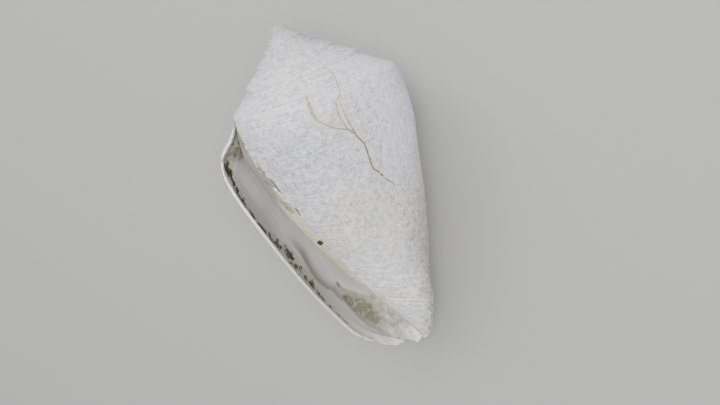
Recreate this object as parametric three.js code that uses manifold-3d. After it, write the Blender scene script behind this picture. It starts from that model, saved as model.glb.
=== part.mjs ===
// A fossil cone shell that winds to the left, bleached white, lying on its back.
// All lengths are in millimetres. The shell is worked out upright on its own axis, with the tip of
// the spire at height 0 and the open end at height LENGTH, and is then laid down.
//
// A place on the shell is named by two numbers. The turn counts whorls back from the lip: 0 is the
// lip, 1 is the older whorl that lies under it, 2 the one before that. The share runs down the side
// of a whorl, from 0 at the shoulder to 1 at the open end.
import * as THREE from 'three';
import { mergeVertices } from 'three/addons/utils/BufferGeometryUtils.js';
import Module from 'manifold-3d';

// Growth of the shell
const LENGTH = 99;
const GROWTH_PER_TURN = 1.443;
const SHOULDER_RADIUS = 32;
const SHOULDER_HEIGHT = 26.3;
const WHORLS = 7;

// Side of the last whorl, from the shoulder down to the narrow end
const SIDE_CLOSES_AT = 100;
const SIDE_POWER = 1.87;
const SIDE_HOLLOW = 0.4;
const SHOULDER_TUCK = 0.066;
const SHOULDER_TUCK_LENGTH = 4.9;
const LIP_EXTRA_TUCK = 0.054;
const LIP_TUCK_TURNS = 0.07;

// The neck, which all whorls share toward the narrow end
const NECK_RADIUS = 18.8;
const NECK_POWER = 0.32;
const NECK_BLEND = 7;
const NECK_COMES_IN_OVER = 30;
const NECK_LIMIT = 0.98;
const NECK_INNER_LOSS = 0.5;
const NECK_NARROWS = { from: 0.97, to: 1.45 };

// Broken edge of the open end: how far it reaches beyond LENGTH, by turns back from the lip
const BREAK = [
  { turn: 0, reach: -0.3 },
  { turn: 0.1, reach: 0.6 },
  { turn: 0.27, reach: 3.3 },
  { turn: 0.33, reach: 2.7 },
  { turn: 0.43, reach: 2.5 },
  { turn: 0.54, reach: 1.1 },
  { turn: 0.85, reach: 0.5 },
];
const BREAK_PULLS_FROM = 78;

// Broad lumps and hollows, where the real outline leaves the regular curve
const LUMPS = [
  { turn: 0.52, height: 36, wide: 0.2, long: 9, out: 0.75 },
  { turn: 0, height: 90, wide: 0.07, long: 6, out: 0.8 },
  { turn: 0.63, height: 98, wide: 0.1, long: 5, out: -1.6 },
  { turn: 0.58, height: 78, wide: 0.1, long: 7, out: 0.8 },
];
const LUMPS_FADE_IN_OVER = 6;

// Steps of the spire, for a whorl of the lip's size. The last whorl has hardly any.
const RIDGE_OUT = 1.3;
const RIDGE_OUT_LAST = 0.3;
const RIDGE_STARTS = { from: 0.6, to: 0.9 };
const RIDGE_PLACE = 0.06;
const RIDGE_NARROWS = 3;
const SPIRE_HOLLOW = 0.65;
const HOLLOW_RISES = { from: 2, to: 3.2 };
const HOLLOW_FALLS = { from: 3.6, to: 6 };
const TIP_HEIGHT = 0.6;
const TIP_ROUNDING = 2.2;
const TIP_RINGS = [1, 0.6, 0.25];

// The top of the last whorl sinks where the lip meets the older whorl
const LIP_SAG = 0.9;
const LIP_SAG_TURNS = 0.08;

// Walls and the space inside them
const LIP_THICKNESS = 0.9;
const WALL_THICKNESS = 1.9;
const WALL_THICKENS_OVER = 0.12;
const WALL_THINS_FROM = 0.75;
const SPACE_DEPTH_TOP = 0.9;
const SPACE_DEPTH_WALL_FOOT = 0.45;
const SPACE_DEPTH_PILLAR_FOOT = 0.24;
const SPACE_DEPTH_POWER = 1.5;
const DEEP_END_BULGE = 0.6;

// Pad of shell laid on the older whorl just inside the aperture, thicker in its upper half
const PAD_THICKNESS = 0.9;
const PAD_EXTRA_ABOVE = 1.9;
const PAD_THINS = { from: 36, to: 58 };
const PAD_RISES = { from: 0.88, to: 1 };
const PAD_FALLS = { from: 1.1, to: 1.3 };
const PAD_TOP_FADE = { from: 1, to: 13 };
const PAD_FOOT_FADE = { from: 62, to: 82 };

// The pillar at the narrow end, which shrinks to a thin tooth on the right
const PILLAR_SHRINKS_FROM = 58;
const PILLAR_TURN_TOP = 0.62;
const PILLAR_TURN_FOOT = 0.52;
const PILLAR_TAPER = 0.42;
const PILLAR_TAPER_POWER = 1.2;
const PILLAR_TOOTH = 0.44;
const PILLAR_TOOTH_POWER = 5;

// How it lies: the part of the skin that faces down, how far the open end dips, and the worn flat
const REST_TURN = 1 / 3;
const REST_DIP_DEGREES = 11.5;
const REST_WEAR = 0.45;

// Facets
const STEPS_PER_TURN = 48;
const ROWS_DOWN_SIDE = 22;
const STEPS_INTO_SPACE = 40;
const TOP_ROW = 0.018;
const ROW_EASING = 0.4;
const WELD = 1e-4;

const { smoothstep, lerp, clamp } = THREE.MathUtils;

function sizeAt(turn) {
  return GROWTH_PER_TURN ** -turn;
}

function tuckAt(turn) {
  return SHOULDER_TUCK + LIP_EXTRA_TUCK * Math.exp(-turn / LIP_TUCK_TURNS);
}

// Radius of the outside of a whorl at a height on the axis
function radiusAt(turn, height) {
  const size = sizeAt(turn);
  const below = Math.max(height - SHOULDER_HEIGHT * size, 0);
  const down = clamp(below / ((SIDE_CLOSES_AT - SHOULDER_HEIGHT) * size), 0, 1);
  const side = Math.sqrt(1 - down ** SIDE_POWER) * (1 - SIDE_HOLLOW * down * (1 - down));
  const tuck = tuckAt(turn) * Math.exp(-below / (SHOULDER_TUCK_LENGTH * size));
  const cone = SHOULDER_RADIUS * size * side * (1 - tuck);
  const neckShape = NECK_RADIUS * Math.max(1 - height / SIDE_CLOSES_AT, 0) ** NECK_POWER;
  const neckFade = smoothstep(below, 0, NECK_COMES_IN_OVER)
    * (1 - NECK_INNER_LOSS * smoothstep(turn, NECK_NARROWS.from, NECK_NARROWS.to));
  const neck = Math.min(neckShape * neckFade, NECK_LIMIT * SHOULDER_RADIUS * size);
  const bare = (cone ** NECK_BLEND + neck ** NECK_BLEND) ** (1 / NECK_BLEND);
  const lumps = lumpsAt(turn, height) * smoothstep(below, 0, LUMPS_FADE_IN_OVER);
  return bare + padAt(turn, below, height) + lumps;
}

function lumpsAt(turn, height) {
  return LUMPS.reduce((total, lump) => {
    const around = (turn - lump.turn) / lump.wide;
    const along = (height - lump.height) / lump.long;
    return total + lump.out * Math.exp(-(around ** 2) - along ** 2);
  }, 0);
}

function padAt(turn, below, height) {
  const around = smoothstep(turn, PAD_RISES.from, PAD_RISES.to)
    * (1 - smoothstep(turn, PAD_FALLS.from, PAD_FALLS.to));
  const down = smoothstep(below, PAD_TOP_FADE.from, PAD_TOP_FADE.to)
    * (1 - smoothstep(height, PAD_FOOT_FADE.from, PAD_FOOT_FADE.to));
  const extra = PAD_EXTRA_ABOVE * (1 - smoothstep(height, PAD_THINS.from, PAD_THINS.to));
  return (PAD_THICKNESS + extra) * around * down;
}

// How far the broken edge reaches beyond LENGTH
function breakAt(turn) {
  const after = BREAK.findIndex((place) => place.turn > turn);
  if (after < 0) return BREAK.at(-1).reach;
  const [a, b] = [BREAK[after - 1], BREAK[after]];
  return lerp(a.reach, b.reach, (turn - a.turn) / (b.turn - a.turn));
}

// A point of a whorl. Near the open end the whorl is drawn out to its broken edge.
function pointAt(turn, radius, height) {
  const angle = 2 * Math.PI * turn;
  const pull = breakAt(turn) * smoothstep(height, BREAK_PULLS_FROM, LENGTH);
  return new THREE.Vector3(radius * Math.cos(angle), radius * Math.sin(angle), height + pull);
}

function heightAt(turn, share, drop = 0) {
  const top = SHOULDER_HEIGHT * sizeAt(turn) + drop;
  return lerp(top, LENGTH, share);
}

// Outside of the shell. Past the pillar's turn, the section shrinks toward the pillar's foot.
function skin(turn, share) {
  const height = heightAt(turn, share);
  const point = pointAt(turn, radiusAt(turn, height), height);
  const down = clamp((height - PILLAR_SHRINKS_FROM) / (SIDE_CLOSES_AT - PILLAR_SHRINKS_FROM), 0, 1);
  const pillarTurn = lerp(PILLAR_TURN_TOP, PILLAR_TURN_FOOT, down);
  if (turn <= pillarTurn) return point;
  const foot = pointAt(pillarTurn, radiusAt(pillarTurn, height), height).setZ(point.z);
  const shrink = 1 - PILLAR_TAPER * down ** PILLAR_TAPER_POWER
    - PILLAR_TOOTH * down ** PILLAR_TOOTH_POWER;
  return foot.lerp(point, shrink);
}

function thicknessAt(turn, share) {
  const full = lerp(WALL_THICKNESS, LIP_THICKNESS, smoothstep(share, WALL_THINS_FROM, 1));
  return lerp(LIP_THICKNESS, full, smoothstep(turn, 0, WALL_THICKENS_OVER));
}

// Inside of the outer wall
function lining(turn, share) {
  const thickness = thicknessAt(turn, share);
  const height = heightAt(turn, share, thickness);
  return pointAt(turn, radiusAt(turn, height) - thickness, height);
}

function shoulderRadius(turn) {
  const hollow = smoothstep(turn, HOLLOW_RISES.from, HOLLOW_RISES.to)
    * (1 - smoothstep(turn, HOLLOW_FALLS.from, HOLLOW_FALLS.to));
  return SHOULDER_RADIUS * sizeAt(turn) * (1 - tuckAt(turn)) - SPIRE_HOLLOW * hollow;
}

// The curve in this has its highest point, 1, at two thirds of the way across
function sagAt(turn, across) {
  const bump = 6.75 * across ** 2 * (1 - across);
  return Math.SQRT1_2 * LIP_SAG * bump * Math.exp(-turn / LIP_SAG_TURNS);
}

// Sloping top of a whorl, from its shoulder (across = 0) up to the older whorl (across = 1)
function ramp(turn, across) {
  const size = sizeAt(turn);
  const outer = shoulderRadius(turn);
  const inner = shoulderRadius(turn + 1);
  const started = smoothstep(turn, RIDGE_STARTS.from, RIDGE_STARTS.to);
  const strength = lerp(RIDGE_OUT_LAST, RIDGE_OUT, started) * size;
  const ridge = (1 - across) ** RIDGE_NARROWS * (1 - Math.exp(-across / RIDGE_PLACE));
  const lift = Math.SQRT1_2 * strength * ridge - sagAt(turn, across);
  const height = SHOULDER_HEIGHT * lerp(size, sizeAt(turn + 1), across) - lift;
  return pointAt(turn, lerp(outer, inner, across) + lift, height);
}

// Shares of the rows down the side: the first is the shoulder, the second clears the top wall
const shares = [0];
for (let row = 0; row <= ROWS_DOWN_SIDE; row += 1) {
  const even = row / ROWS_DOWN_SIDE;
  const eased = lerp(even, 0.5 - 0.5 * Math.cos(Math.PI * even), ROW_EASING);
  shares.push(lerp(TOP_ROW, 1, eased));
}
const rows = shares.slice(1);

function depthOf(foot, share) {
  return lerp(SPACE_DEPTH_TOP, foot, share ** SPACE_DEPTH_POWER);
}

// A grid of points: one list for each step along, with one point for each step across
function grid(along, across, place) {
  return along.map((a) => across.map((b) => place(a, b)));
}

function evenly(count, from = 0, to = 1) {
  return Array.from({ length: count + 1 }, (_, index) => lerp(from, to, index / count));
}

const turns = evenly(STEPS_PER_TURN);
const inward = evenly(STEPS_INTO_SPACE);
const crosswise = [0, 0.07, 0.2, 0.6, 1];

const side = grid(turns, shares, skin);
const pillar = grid(inward, rows, (depth, share) => (
  skin(1 + depth * depthOf(SPACE_DEPTH_PILLAR_FOOT, share), share)));
const wall = grid(inward, rows, (depth, share) => (
  lining(depth * depthOf(SPACE_DEPTH_WALL_FOOT, share), (share - TOP_ROW) / (1 - TOP_ROW))));
const spireTurns = evenly(STEPS_PER_TURN * (WHORLS - 1), 0, WHORLS - 1);
const spire = grid(spireTurns, crosswise, ramp);
const ceiling = wall.map((column, step) => crosswise.map((across) => {
  const turn = inward[step] * SPACE_DEPTH_TOP;
  const sag = sagAt(turn, across);
  const sink = pointAt(turn, -sag, sag);
  return column[0].clone().lerp(pillar[step][0], across).add(sink);
}));
const deepEnd = wall.at(-1).map((point, row) => {
  const toPillar = pillar.at(-1)[row].clone().sub(point);
  const towardLip = new THREE.Vector3(-toPillar.y, toPillar.x, 0);
  const bulge = DEEP_END_BULGE * (rows[row] - TOP_ROW);
  return crosswise.map((across) => point.clone()
    .addScaledVector(toPillar, across)
    .addScaledVector(towardLip, bulge * across * (1 - across)));
});

// Triangles, kept as a plain list of corners
const corners = [];

function triangle(a, b, c) {
  if (!a.equals(b) && !b.equals(c) && !c.equals(a)) corners.push(a, b, c);
}

function quad(a, b, c, d) {
  triangle(a, b, c);
  triangle(a, c, d);
}

function sheet(points) {
  for (let i = 0; i + 1 < points.length; i += 1) {
    for (let j = 0; j + 1 < points[i].length; j += 1) {
      quad(points[i][j], points[i][j + 1], points[i + 1][j + 1], points[i + 1][j]);
    }
  }
}

const reversed = (points) => [...points].reverse();

sheet(reversed(side));
sheet(reversed(pillar));
sheet(wall);
sheet(spire);
sheet(reversed(ceiling));
sheet(reversed(deepEnd));

// Edge of the lip: the outer line runs from the seam over the shoulder and down to the end
const outerEdge = [...reversed(spire[0]), ...side[0].slice(1)];
const innerEdge = [...reversed(ceiling[0]), ...wall[0].slice(1)];
innerEdge.splice(crosswise.length, 0, ceiling[0][0]);
for (let i = 0; i + 1 < outerEdge.length; i += 1) {
  quad(outerEdge[i], outerEdge[i + 1], innerEdge[i + 1], innerEdge[i]);
}

// Tip of the spire
const lastTurn = evenly(STEPS_PER_TURN, WHORLS - 1, WHORLS).map((turn) => ramp(turn, 0));
const tipRing = [...lastTurn, ...reversed(spire.at(-1)).slice(1, -1)];
const tip = new THREE.Vector3(0, 0, TIP_HEIGHT);
const domeRings = TIP_RINGS.map((outward) => tipRing.map((point) => (
  new THREE.Vector3(point.x, point.y, 0)
    .multiplyScalar(outward)
    .setZ(lerp(TIP_HEIGHT, point.z, outward ** TIP_ROUNDING)))));
tipRing.forEach((_, index) => {
  const next = (index + 1) % tipRing.length;
  for (let ring = 0; ring + 1 < domeRings.length; ring += 1) {
    const [outer, inner] = [domeRings[ring], domeRings[ring + 1]];
    quad(outer[next], outer[index], inner[index], inner[next]);
  }
  triangle(domeRings.at(-1)[next], domeRings.at(-1)[index], tip);
});

// Broken margin at the open end
const margin = [
  ...side.map((column) => column.at(-1)),
  ...pillar.slice(1).map((column) => column.at(-1)),
  ...reversed(deepEnd.at(-1)).slice(1),
  ...reversed(wall).slice(1).map((column) => column.at(-1)),
];
const flatMargin = margin.map((point) => new THREE.Vector2(point.x, point.y));
THREE.ShapeUtils.triangulateShape(flatMargin, []).forEach(([a, b, c]) => {
  triangle(margin[a], margin[b], margin[c]);
});

// The shell is laid down, lowered a little into the floor, and worn flat there
const geometry = mergeVertices(new THREE.BufferGeometry().setFromPoints(corners), WELD);
geometry.rotateZ(-2 * Math.PI * (0.25 + REST_TURN));
geometry.rotateX(Math.PI / 2 + THREE.MathUtils.degToRad(REST_DIP_DEGREES));
geometry.computeBoundingBox();
const middle = geometry.boundingBox.getCenter(new THREE.Vector3());
geometry.translate(-middle.x, -middle.y, -geometry.boundingBox.min.z - REST_WEAR);

const floorSize = 3 * LENGTH;
const floor = new THREE.BoxGeometry(floorSize, floorSize, floorSize);
floor.translate(0, 0, -floorSize / 2);

const wasm = await Module();
wasm.setup();

function solidFrom(shape) {
  const bare = shape.clone();
  bare.deleteAttribute('normal');
  bare.deleteAttribute('uv');
  const merged = mergeVertices(bare, WELD);
  return new wasm.Manifold(new wasm.Mesh({
    numProp: 3,
    vertProperties: new Float32Array(merged.attributes.position.array),
    triVerts: new Uint32Array(merged.index.array),
  }));
}

function subtract(shape, tool) {
  const mesh = solidFrom(shape).subtract(solidFrom(tool)).getMesh();
  const result = new THREE.BufferGeometry();
  result.setAttribute('position', new THREE.BufferAttribute(mesh.vertProperties, mesh.numProp));
  result.setIndex(new THREE.BufferAttribute(mesh.triVerts, 1));
  result.computeVertexNormals();
  return result;
}

const bleached = new THREE.MeshStandardMaterial({ color: 0xd2d0cc, roughness: 0.75, metalness: 0 });
const shell = new THREE.Mesh(subtract(geometry, floor), bleached);
shell.name = 'shell';

const part = new THREE.Group();
part.add(shell);

export default part;
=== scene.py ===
# %% [markdown]
# # A fossil cone shell that winds to the left
# The object is one seashell, some millions of years old, bleached white and chalky. It lies on
# its back, and its long narrow opening faces up. This lesson grows it from a few measured values,
# wears and cracks it, and paints it. The solid that the physics uses is already loaded as the
# frame. It stays as it is, and the fine shell made here takes its place in the picture.

# %% Load the frame
import math

import bpy
import bmesh
import numpy as np
from mathutils import Matrix, Vector, noise


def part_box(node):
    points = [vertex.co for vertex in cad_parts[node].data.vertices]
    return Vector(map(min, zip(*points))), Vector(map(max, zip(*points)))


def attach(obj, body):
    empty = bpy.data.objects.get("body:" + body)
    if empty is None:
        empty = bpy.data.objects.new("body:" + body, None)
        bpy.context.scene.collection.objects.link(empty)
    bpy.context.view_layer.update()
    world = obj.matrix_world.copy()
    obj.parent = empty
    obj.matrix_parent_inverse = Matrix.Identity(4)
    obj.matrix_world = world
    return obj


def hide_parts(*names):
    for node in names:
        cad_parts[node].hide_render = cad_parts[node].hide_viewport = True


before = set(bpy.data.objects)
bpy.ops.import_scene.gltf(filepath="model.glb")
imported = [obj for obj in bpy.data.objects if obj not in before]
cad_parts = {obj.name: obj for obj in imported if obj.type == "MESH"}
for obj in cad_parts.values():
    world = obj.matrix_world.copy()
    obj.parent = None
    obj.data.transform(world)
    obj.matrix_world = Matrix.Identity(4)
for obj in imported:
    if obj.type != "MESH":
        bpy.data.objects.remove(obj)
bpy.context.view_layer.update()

cad_low, cad_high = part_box("shell")
MM = 0.001
print("frame box in mm", [round((b - a) / MM, 1) for a, b in zip(cad_low, cad_high)])

# %% [markdown]
# ## How a shell is measured
# A shell grows by adding to its open end, and each turn is larger than the last by one fixed
# factor. So every turn is a copy of the last one, shrunk toward the tip of the spire. That could
# be modelled by copying and scaling a ring with a modifier, or by sweeping a curve along a spiral.
# A formula is shorter and exact, so the surface is written as functions of two numbers. The turn
# counts whorls back from the lip. The share runs down the side of a whorl, from 0 at the shoulder
# to 1 at the open end. The shell first stands on its axis, with its tip at height 0.

# %% Growth of the whorls
LENGTH = 99.0
GROWTH_PER_TURN = 1.443
SHOULDER_RADIUS = 32.0
SHOULDER_HEIGHT = 26.3
WHORLS = 7


def smoothstep(value, start, end):
    t = np.clip((value - start) / (end - start), 0.0, 1.0)
    return t * t * (3.0 - 2.0 * t)


def size_at(turn):
    return GROWTH_PER_TURN ** -turn


print("whorl sizes", [round(float(size_at(turn)), 2) for turn in range(WHORLS + 1)])

# %% [markdown]
# ## The side of a whorl
# The side starts at a rounded shoulder, runs down almost straight, and ends in a narrow neck that
# all turns share. One curve gives the cone and another the neck. A blend of both, with a high
# power, follows whichever is wider, and rounds the place where they meet. Just inside the opening,
# a pad of shell lies on the older whorl. No shell is quite regular, so a few broad lumps and
# hollows are added where the real outline leaves the curve. A pair of numbers, here and later, says
# where something starts and where it is complete.

# %% Radius of the outside
SIDE_CLOSES_AT = 100.0
SIDE_POWER = 1.87
SIDE_HOLLOW = 0.4
SHOULDER_TUCK = 0.066
SHOULDER_TUCK_LENGTH = 4.9
LIP_EXTRA_TUCK = 0.054
LIP_TUCK_TURNS = 0.07
NECK_RADIUS = 18.8
NECK_POWER = 0.32
NECK_BLEND = 7.0
NECK_COMES_IN_OVER = 30.0
NECK_INNER_LOSS = 0.5
NECK_NARROWS = (0.97, 1.45)
NECK_LIMIT = 0.98
PAD_THICKNESS = 0.9
PAD_EXTRA_ABOVE = 1.9
PAD_THINS = (36.0, 58.0)
PAD_RISES = (0.88, 1.0)
PAD_FALLS = (1.1, 1.3)
PAD_TOP_FADE = (1.0, 13.0)
PAD_FOOT_FADE = (62.0, 82.0)
LUMPS_FADE_IN_OVER = 6.0

# Each lump has a turn, a height, a width in turns, a length and a rise.
LUMPS = [(0.52, 36.0, 0.2, 9.0, 0.75), (0.0, 90.0, 0.07, 6.0, 0.8), (0.63, 98.0, 0.1, 5.0, -1.6),
         (0.58, 78.0, 0.1, 7.0, 0.8), (0.59, 87.0, 0.06, 2.2, 0.45),
         (0.585, 96.5, 0.08, 3.0, -0.7)]


def lumps_at(turn, height):
    total = 0.0
    for middle_turn, middle_height, width, length, rise in LUMPS:
        around = (turn - middle_turn) / width
        along = (height - middle_height) / length
        total = total + rise * np.exp(-around ** 2 - along ** 2)
    return total


def tuck_at(turn):
    return SHOULDER_TUCK + LIP_EXTRA_TUCK * np.exp(-turn / LIP_TUCK_TURNS)


def pad_at(turn, below, height):
    around = smoothstep(turn, *PAD_RISES) * (1.0 - smoothstep(turn, *PAD_FALLS))
    down = smoothstep(below, *PAD_TOP_FADE) * (1.0 - smoothstep(height, *PAD_FOOT_FADE))
    thickness = PAD_THICKNESS + PAD_EXTRA_ABOVE * (1.0 - smoothstep(height, *PAD_THINS))
    return thickness * around * down


def radius_at(turn, height):
    size = size_at(turn)
    below = np.maximum(height - SHOULDER_HEIGHT * size, 0.0)
    down = np.clip(below / ((SIDE_CLOSES_AT - SHOULDER_HEIGHT) * size), 0.0, 1.0)
    side = np.sqrt(1.0 - down ** SIDE_POWER) * (1.0 - SIDE_HOLLOW * down * (1.0 - down))
    tuck = tuck_at(turn) * np.exp(-below / (SHOULDER_TUCK_LENGTH * size))
    cone = SHOULDER_RADIUS * size * side * (1.0 - tuck)
    neck = NECK_RADIUS * np.maximum(1.0 - height / SIDE_CLOSES_AT, 0.0) ** NECK_POWER
    neck = neck * smoothstep(below, 0.0, NECK_COMES_IN_OVER)
    neck = neck * (1.0 - NECK_INNER_LOSS * smoothstep(turn, *NECK_NARROWS))
    neck = np.minimum(neck, NECK_LIMIT * SHOULDER_RADIUS * size)
    blend = (cone ** NECK_BLEND + neck ** NECK_BLEND) ** (1.0 / NECK_BLEND)
    lumps = lumps_at(turn, height) * smoothstep(below, 0.0, LUMPS_FADE_IN_OVER)
    return blend + pad_at(turn, below, height) + lumps


print("radius at the lip in mm", radius_at(0.0, np.array([27.0, 40.0, 60.0, 80.0, 95.0])).round(1))

# %% [markdown]
# ## The broken open end
# A living cone shell ends in a smooth rim. This one has broken off all round, so the end is uneven
# and reaches furthest at the back. A few measured places give the run of the break, and small
# seeded random bites make it ragged. The break could be cut with a boolean and a rough tool, but
# pulling the last rows of points in or out keeps the mesh clean.

# %% Where the end has broken
BREAK_TURNS = [0.0, 0.1, 0.27, 0.33, 0.43, 0.54, 0.85]
BREAK_REACH = [-0.3, 0.6, 3.3, 2.7, 2.5, 1.1, 0.5]
BREAK_PULLS_FROM = 78.0
BITE_SPACING = 0.022
BITE_DEPTH = 0.5
BITE_SEED = 7

rng = np.random.default_rng(BITE_SEED)
bite_turns = np.arange(-0.1, 2.0, BITE_SPACING)
bites = BITE_DEPTH * rng.uniform(-1.0, 1.0, len(bite_turns))


def break_at(turn):
    return np.interp(turn, BREAK_TURNS, BREAK_REACH) + np.interp(turn, bite_turns, bites)


def point_at(turn, radius, height):
    angle = 2.0 * math.pi * turn
    pull = break_at(turn) * smoothstep(height, BREAK_PULLS_FROM, LENGTH)
    return np.stack([radius * np.cos(angle), radius * np.sin(angle), height + pull], -1)


def height_at(turn, share, drop=0.0):
    top = SHOULDER_HEIGHT * size_at(turn) + drop
    return top + (LENGTH - top) * share


print("break in mm at the back", round(float(break_at(0.27)), 2))

# %% [markdown]
# ## Skin, lining and ramp
# Three sheets make nearly the whole form. The skin is the outside. Toward the open end its section
# shrinks to the pillar, the twisted edge that the opening wraps round. The lining is the inside of
# the outer wall, thin at the lip. The ramp is the sloping top of each whorl, and all ramps
# together are the spire. A shallow groove, the suture, runs where a ramp meets the older whorl.
# It is clearest on the lip's side and worn on the other.

# %% The three sheets as functions
PILLAR_SHRINKS_FROM = 58.0
PILLAR_TURN_TOP = 0.62
PILLAR_TURN_FOOT = 0.52
PILLAR_TAPER = 0.42
PILLAR_TAPER_POWER = 1.2
PILLAR_TOOTH = 0.44
PILLAR_TOOTH_POWER = 5
LIP_THICKNESS = 0.75
CEILING_THINNER = 0.6
WALL_THICKNESS = 1.9
WALL_THICKENS_OVER = 0.12
WALL_THINS_FROM = 0.75
RIDGE_OUT = 1.3
RIDGE_OUT_LAST = 0.3
RIDGE_PLACE = 0.06
RIDGE_NARROWS = 3.0
RIDGE_GROWS = (0.6, 0.9)
SUTURE_DEPTH = 0.75
SUTURE_PLACE = 0.08
SUTURE_WORN = 0.37
SUTURE_STARTS = (0.1, 0.5)
SPIRE_HOLLOW = 0.65
SPIRE_HOLLOW_STARTS = (2.0, 3.2)
SPIRE_HOLLOW_ENDS = (3.6, 6.0)
LIP_SAG = 0.9
LIP_SAG_TURNS = 0.08
SAG_PEAK = 4.0 / 27.0
SLANT = math.sqrt(0.5)


def skin(turn, share):
    height = height_at(turn, share)
    point = point_at(turn, radius_at(turn, height), height)
    down = (height - PILLAR_SHRINKS_FROM) / (SIDE_CLOSES_AT - PILLAR_SHRINKS_FROM)
    down = np.clip(down, 0.0, 1.0)
    pillar_turn = PILLAR_TURN_TOP + (PILLAR_TURN_FOOT - PILLAR_TURN_TOP) * down
    foot = point_at(pillar_turn, radius_at(pillar_turn, height), height)
    foot[..., 2] = point[..., 2]
    shrink = 1.0 - PILLAR_TAPER * down ** PILLAR_TAPER_POWER
    shrink = shrink - PILLAR_TOOTH * down ** PILLAR_TOOTH_POWER
    shrink = np.where(turn > pillar_turn, shrink, 1.0)[..., None]
    return foot + (point - foot) * shrink


def thickness_at(turn, share):
    thinning = smoothstep(share, WALL_THINS_FROM, 1.0)
    full = WALL_THICKNESS + (LIP_THICKNESS - WALL_THICKNESS) * thinning
    return LIP_THICKNESS + (full - LIP_THICKNESS) * smoothstep(turn, 0.0, WALL_THICKENS_OVER)


def lining(turn, share):
    thickness = thickness_at(turn, share)
    height = height_at(turn, share, CEILING_THINNER * thickness)
    return point_at(turn, radius_at(turn, height) - thickness, height)


def shoulder_radius(turn):
    hollow = smoothstep(turn, *SPIRE_HOLLOW_STARTS)
    hollow = hollow * (1.0 - smoothstep(turn, *SPIRE_HOLLOW_ENDS))
    return SHOULDER_RADIUS * size_at(turn) * (1.0 - tuck_at(turn)) - SPIRE_HOLLOW * hollow


def sag_at(turn, across):
    """How far the top of the last whorl sinks where the lip meets the older whorl."""
    bump = across ** 2 * (1.0 - across) / SAG_PEAK
    return SLANT * LIP_SAG * bump * np.exp(-turn / LIP_SAG_TURNS)


def ramp(turn, across):
    size, older = size_at(turn), size_at(turn + 1.0)
    outer, inner = shoulder_radius(turn), shoulder_radius(turn + 1.0)
    strength = RIDGE_OUT_LAST + (RIDGE_OUT - RIDGE_OUT_LAST) * smoothstep(turn, *RIDGE_GROWS)
    ridge = (1.0 - across) ** RIDGE_NARROWS * (1.0 - np.exp(-across / RIDGE_PLACE))
    from_older = (1.0 - across) / SUTURE_PLACE
    depth = SUTURE_DEPTH * (1.0 - SUTURE_WORN * (1.0 - np.cos(2.0 * math.pi * turn)))
    suture = depth * from_older * np.exp(1.0 - from_older) * smoothstep(turn, *SUTURE_STARTS)
    lift = SLANT * size * (strength * ridge - suture) - sag_at(turn, across)
    height = SHOULDER_HEIGHT * (size + (older - size) * across) - lift
    return point_at(turn, outer + (inner - outer) * across + lift, height)


# %% [markdown]
# ## Sampling the sheets
# Each sheet becomes a grid of points. Where two sheets meet they are sampled at the same places,
# so their edge points coincide and can be welded. That leaves one watertight surface with clean
# rows along the growth of the shell, which boolean cuts would not give. The space behind the lip
# is deep, but old matrix fills its top corner almost to the lip. Each point keeps its turn and its
# height over the whorl's size, and the paint is laid out by these two later, because growth lines
# follow one and spiral lines follow the other.

# %% Sampling values
STEPS_PER_TURN = 180
ROWS_DOWN_SIDE = 170
STEPS_INTO_SPACE = 80
STEPS_ACROSS = 12
STEPS_ACROSS_LIP = 4
TOP_ROW = 0.012
ROW_EASING = 0.4
INWARD_EASING = 1.3
SPACE_DEPTH_TOP = 0.9
SPACE_DEPTH_WALL_FOOT = 0.45
SPACE_DEPTH_PILLAR_FOOT = 0.24
SPACE_DEPTH_POWER = 1.5
DEEP_END_BULGE = 0.6
CORNER_DEPTH = 0.006
CORNER_SLOPE = 0.2
CORNER_SHARES = (0.05, 0.3)


def eased(even):
    """Steps that are closer at both ends."""
    return 0.5 - 0.5 * np.cos(math.pi * even)


lip_steps = np.linspace(0.0, 1.0, STEPS_ACROSS_LIP + 1)
even = np.linspace(0.0, 1.0, ROWS_DOWN_SIDE + 1)
rows = TOP_ROW + (1.0 - TOP_ROW) * ((1.0 - ROW_EASING) * even + ROW_EASING * eased(even))
shares = np.concatenate([TOP_ROW * lip_steps[:-1], rows])
crosswise = eased(np.linspace(0.0, 1.0, STEPS_ACROSS + 1))
inward = np.linspace(0.0, 1.0, STEPS_INTO_SPACE + 1) ** INWARD_EASING
turns = np.linspace(0.0, 1.0, STEPS_PER_TURN + 1)
spire_turns = np.linspace(0.0, WHORLS - 1.0, STEPS_PER_TURN * (WHORLS - 1) + 1)


def grid(along, across):
    return np.meshgrid(along, across, indexing="ij")


def depth_of(foot, share):
    """Depth of the space in turns. Old matrix fills its top corner almost to the lip."""
    depth = SPACE_DEPTH_TOP + (foot - SPACE_DEPTH_TOP) * share ** SPACE_DEPTH_POWER
    filled = CORNER_DEPTH + CORNER_SLOPE * share
    return filled + (depth - filled) * smoothstep(share, *CORNER_SHARES) ** 2


# %% Points of every sheet
side_turn, side_share = grid(turns, shares)
side = skin(side_turn, side_share)
depth, share = grid(inward, rows)
pillar_turn = 1.0 + depth * depth_of(SPACE_DEPTH_PILLAR_FOOT, share)
pillar = skin(pillar_turn, share)
wall_turn = depth * depth_of(SPACE_DEPTH_WALL_FOOT, share)
wall = lining(wall_turn, (share - TOP_ROW) / (1.0 - TOP_ROW))
spire_turn, spire_across = grid(spire_turns, crosswise)
spire = ramp(spire_turn, spire_across)


def between(start, end, steps):
    """Straight rows of points from one line of points to another."""
    return start[:, None] + (end - start)[:, None] * steps[None, :, None]


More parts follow.
